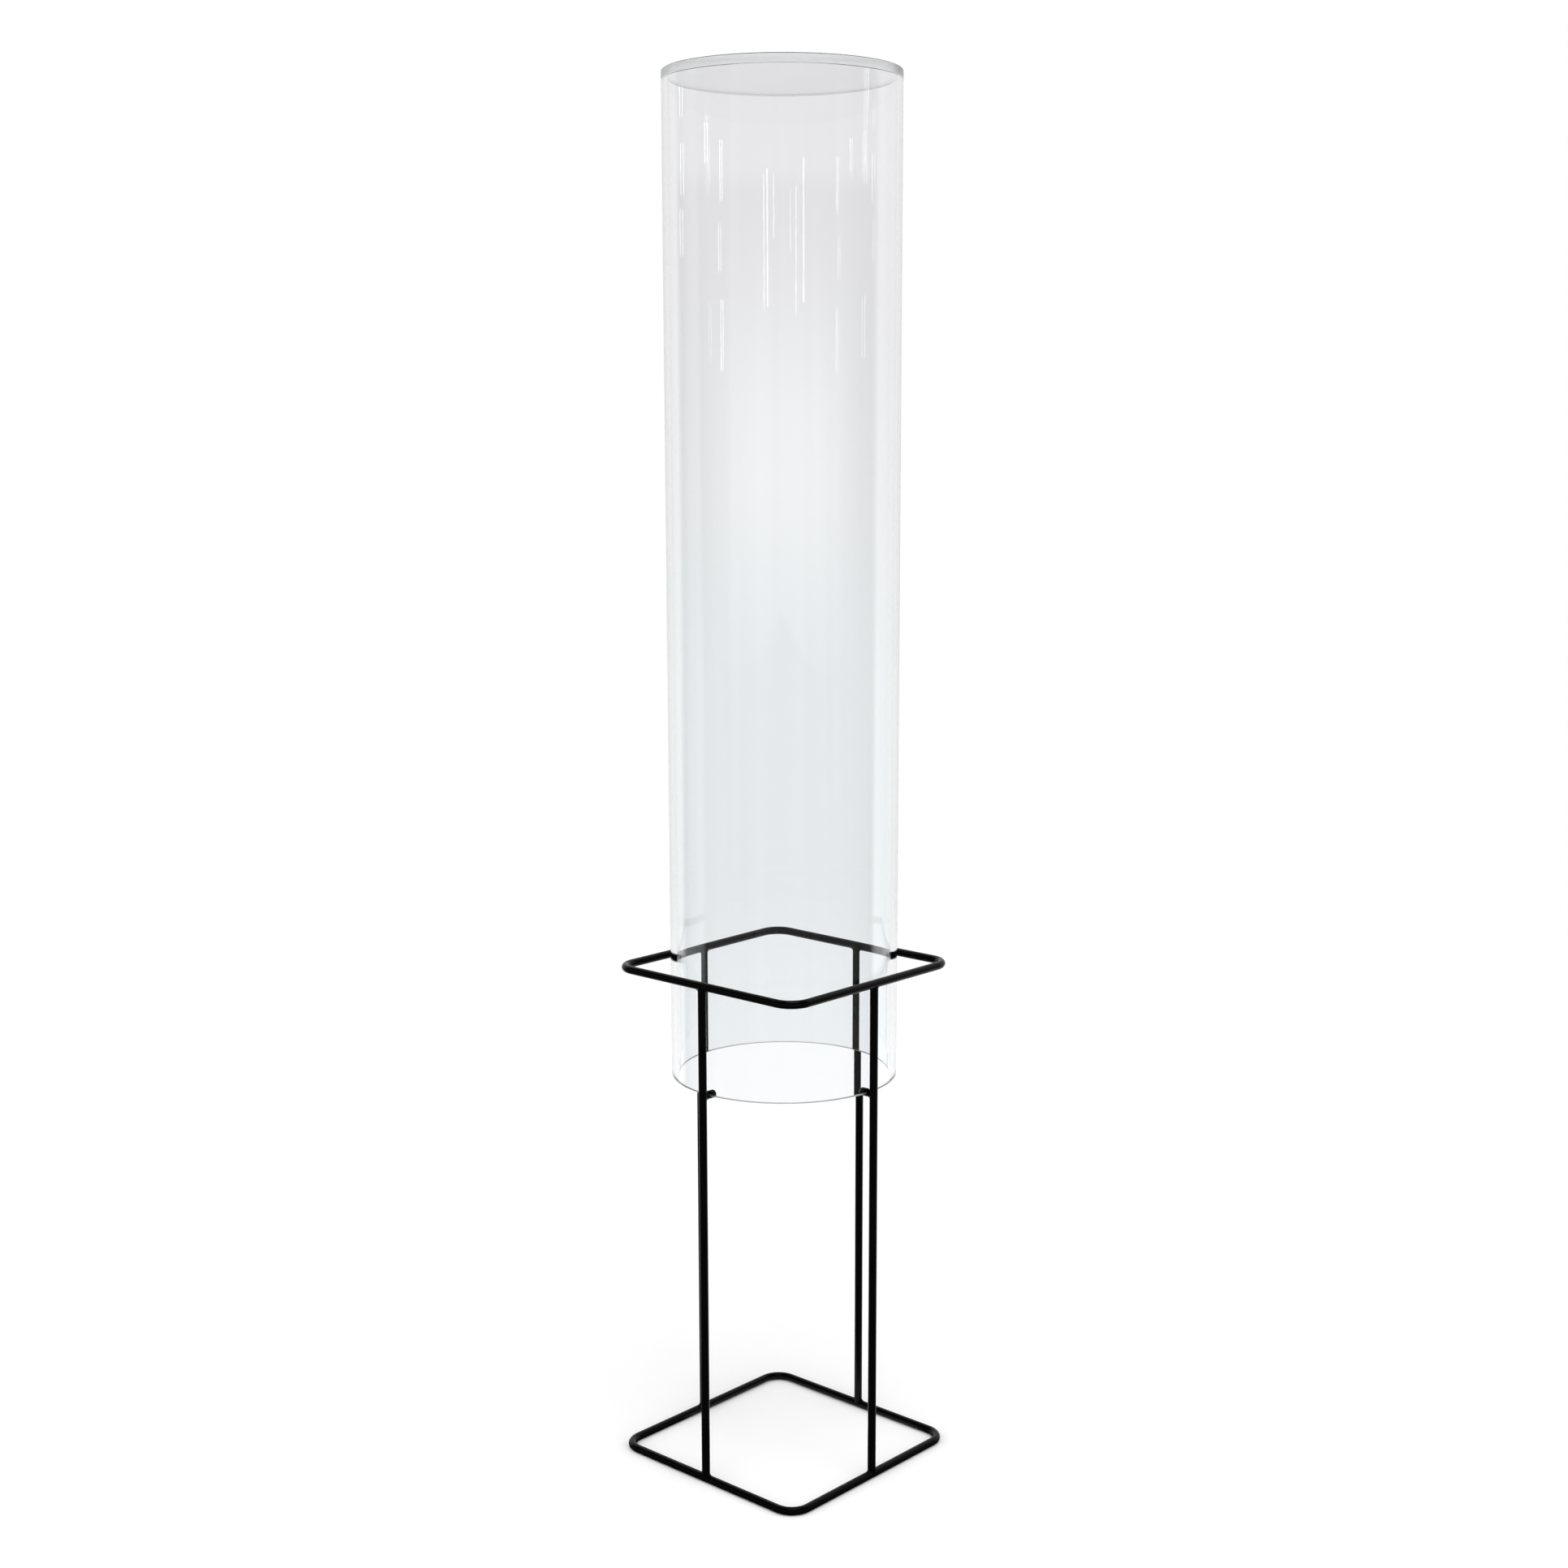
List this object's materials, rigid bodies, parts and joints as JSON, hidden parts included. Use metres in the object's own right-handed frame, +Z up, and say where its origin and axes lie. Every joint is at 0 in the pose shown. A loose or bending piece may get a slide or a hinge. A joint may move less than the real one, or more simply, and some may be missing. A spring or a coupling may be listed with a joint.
{
  "type": "bubble tube floor lamp",
  "caption": "Tall clear round tube, open below and closed by a clear disc, standing on two stubs in a black frame of round bar with two rounded-square rings.",
  "frame": {"origin": "on the floor under the tube's axis, at the centre of the bottom ring's underside", "axes": "+Z up along the tube; +X and +Y square to the rings' sides, so a leg stands on each of them; the two rests are on the +X and -Y legs"},
  "size_m": [0.239, 0.239, 1.342],
  "materials": {
    "black_bar": "semi-gloss black coat on steel bar",
    "weld": "semi-gloss black coat over a fillet weld",
    "clear_tube": "clear, polished, ground ends",
    "clear_cap": "clear, polished, ground edge"
  },
  "bodies": {
    "stand": {"bottom_ring": "black_bar", "top_ring": "black_bar", "leg_right": "black_bar", "foot_weld_right": "weld", "head_weld_right": "weld", "leg_back": "black_bar", "foot_weld_back": "weld", "head_weld_back": "weld", "leg_left": "black_bar", "foot_weld_left": "weld", "head_weld_left": "weld", "leg_front": "black_bar", "foot_weld_front": "weld", "head_weld_front": "weld", "rest_right": "black_bar", "rest_weld_right": "weld", "rest_front": "black_bar", "rest_weld_front": "weld"},
    "tube": {"tube": "clear_tube", "cap": "clear_cap"}
  },
  "joints": [
    {"name": "tube_lift", "type": "slide", "parent": "stand", "child": "tube", "axis": [0, 0, 1], "range_m": [0, 0.15]}
  ]
}
